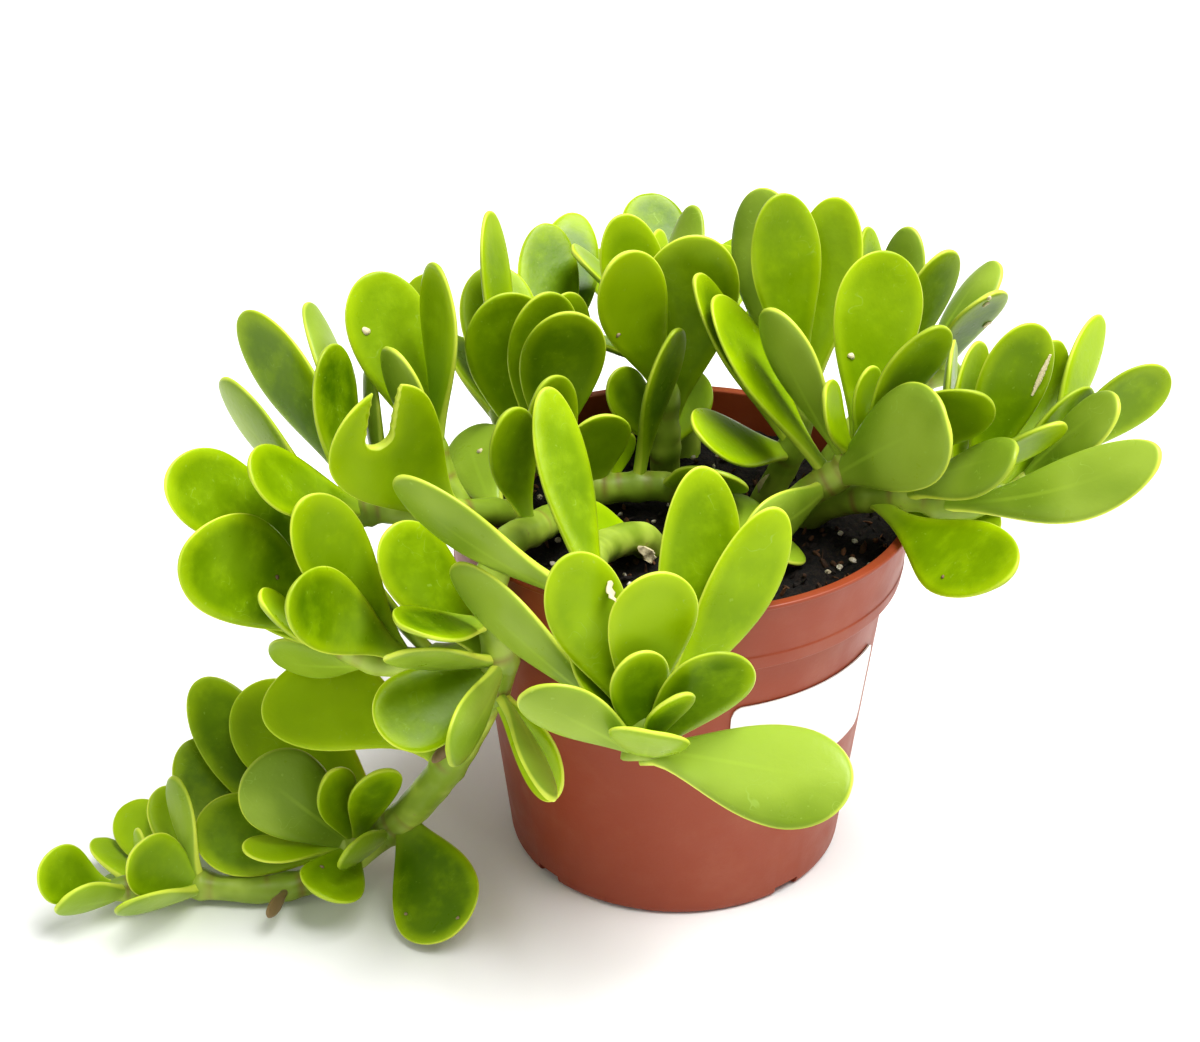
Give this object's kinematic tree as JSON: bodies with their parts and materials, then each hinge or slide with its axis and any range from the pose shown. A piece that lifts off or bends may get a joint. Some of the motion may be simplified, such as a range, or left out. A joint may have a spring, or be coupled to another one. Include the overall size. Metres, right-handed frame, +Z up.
{
  "type": "potted trailing jade",
  "caption": "Leafy succulent with fleshy spoon-shaped leaves in a round tapered nursery pot, one shoot trailing over the rim and along the surface.",
  "frame": {"origin": "centre of the pot's underside", "axes": "+Z up out of the pot, -Y towards the front, where the shoots hang over the rim, and +X to the right as seen from the front"},
  "size_m": [0.3627, 0.2776, 0.2259],
  "materials": {
    "pot": "terracotta-coloured moulded plastic with a dull sheen",
    "soil": "dark damp peat with bark and perlite",
    "label": "blank white paper sticker",
    "leaf": "fleshy succulent leaf and stem, satin, yellow-green"
  },
  "bodies": {
    "root": {"pot": "pot", "soil": "soil", "label": "label", "trailing_stem": "leaf", "left_stem": "leaf", "front_stem": "leaf", "right_rosette": "leaf", "right_stem": "leaf", "upper_right_stem": "leaf", "back_right_stem": "leaf", "top_stem": "leaf", "centre_stem": "leaf", "back_left_stem": "leaf", "back_stem": "leaf"}
  },
  "joints": []
}
